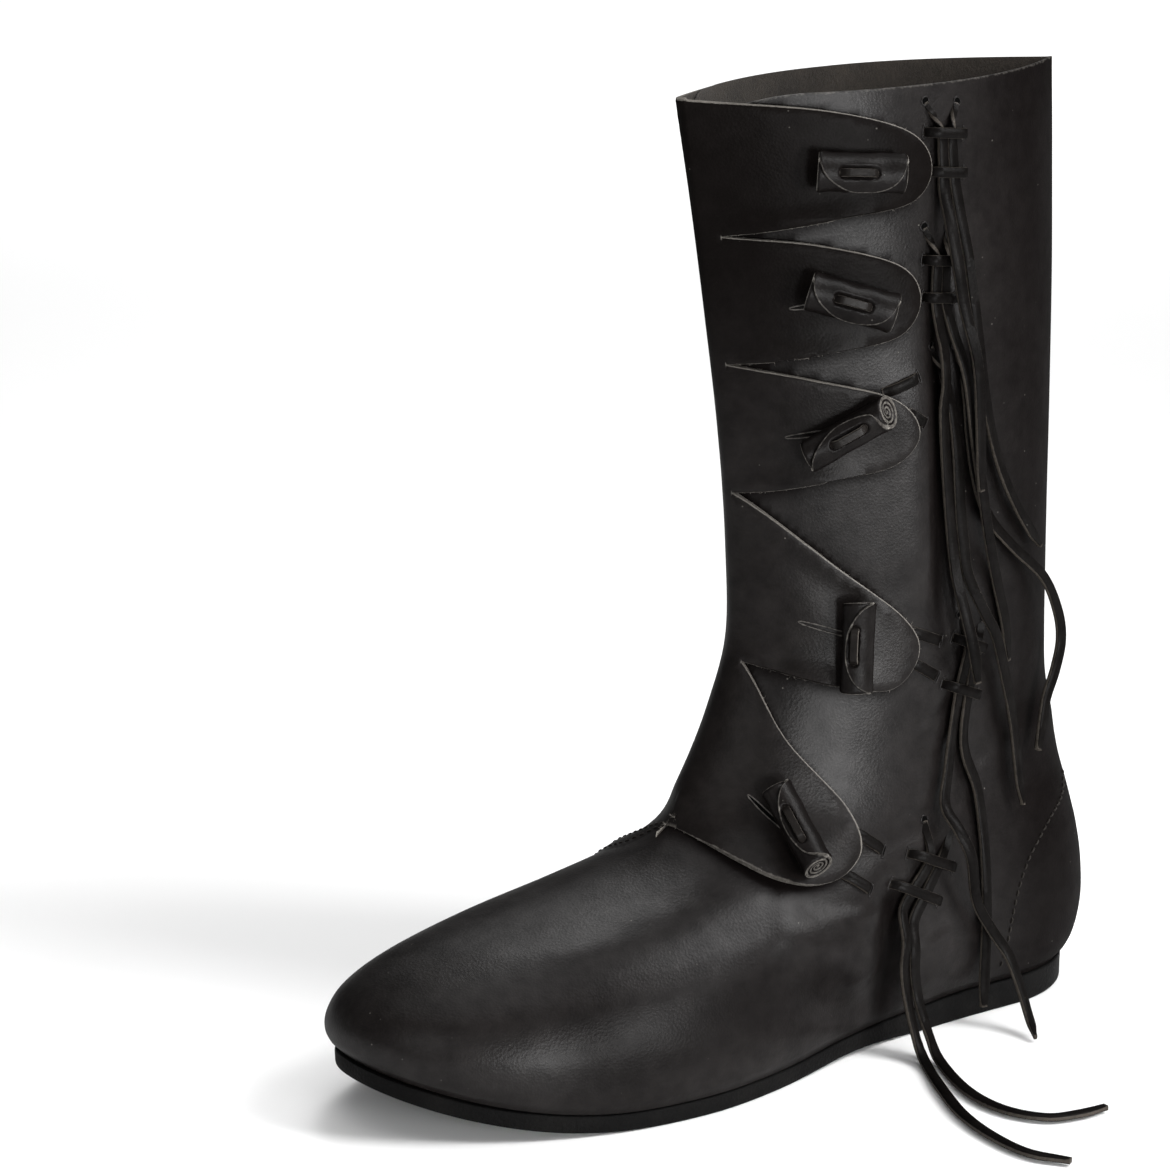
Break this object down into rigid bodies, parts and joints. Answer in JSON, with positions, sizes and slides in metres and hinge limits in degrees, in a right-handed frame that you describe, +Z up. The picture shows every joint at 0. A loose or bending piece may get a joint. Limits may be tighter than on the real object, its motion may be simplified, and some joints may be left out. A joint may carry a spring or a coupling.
{
  "type": "viking boot",
  "caption": "Calf-high left leather boot, hollow, on a low sole with toe spring; side flaps closed by rolled leather toggles, with thong ends hanging free.",
  "frame": {"origin": "on the floor, under the middle of the boot's box without the free thong ends", "axes": "+Z up along the shaft, -Y to the toe, +X to the wearer's left, which is the outer side"},
  "size_m": [0.1987, 0.2944, 0.323],
  "materials": {
    "black_leather": "oiled, matte, fine grain",
    "raw_leather": "raw flesh side, rough",
    "sole_rubber": "matte black"
  },
  "bodies": {
    "root": {"outsole": "sole_rubber", "insole": "raw_leather", "upper": "black_leather", "flap_panel": "black_leather", "vamp_seam": "black_leather", "toggle_1": "black_leather", "toggle_2": "black_leather", "toggle_3": "black_leather", "toggle_4": "black_leather", "toggle_5": "black_leather", "toggle_loop_1": "raw_leather", "toggle_loop_2": "raw_leather", "toggle_loop_3": "raw_leather", "toggle_loop_4": "raw_leather", "toggle_loop_5": "raw_leather", "tab_1": "black_leather", "tab_2": "black_leather", "tab_3": "black_leather", "tab_4": "black_leather", "tab_5": "black_leather", "tab_6": "black_leather", "keeper_1_upper": "black_leather", "keeper_1_lower": "black_leather", "keeper_2_upper": "black_leather", "keeper_2_lower": "black_leather", "keeper_4_upper": "black_leather", "keeper_4_lower": "black_leather", "keeper_5_upper": "black_leather", "keeper_5_lower": "black_leather", "thong_1_front": "black_leather", "thong_1_rear": "black_leather", "thong_2_front": "black_leather", "thong_2_rear": "black_leather", "thong_3_front": "black_leather", "thong_3_rear": "black_leather", "thong_4_front": "black_leather", "thong_4_rear": "black_leather", "thong_5_front": "black_leather", "thong_5_rear": "black_leather"}
  },
  "joints": []
}
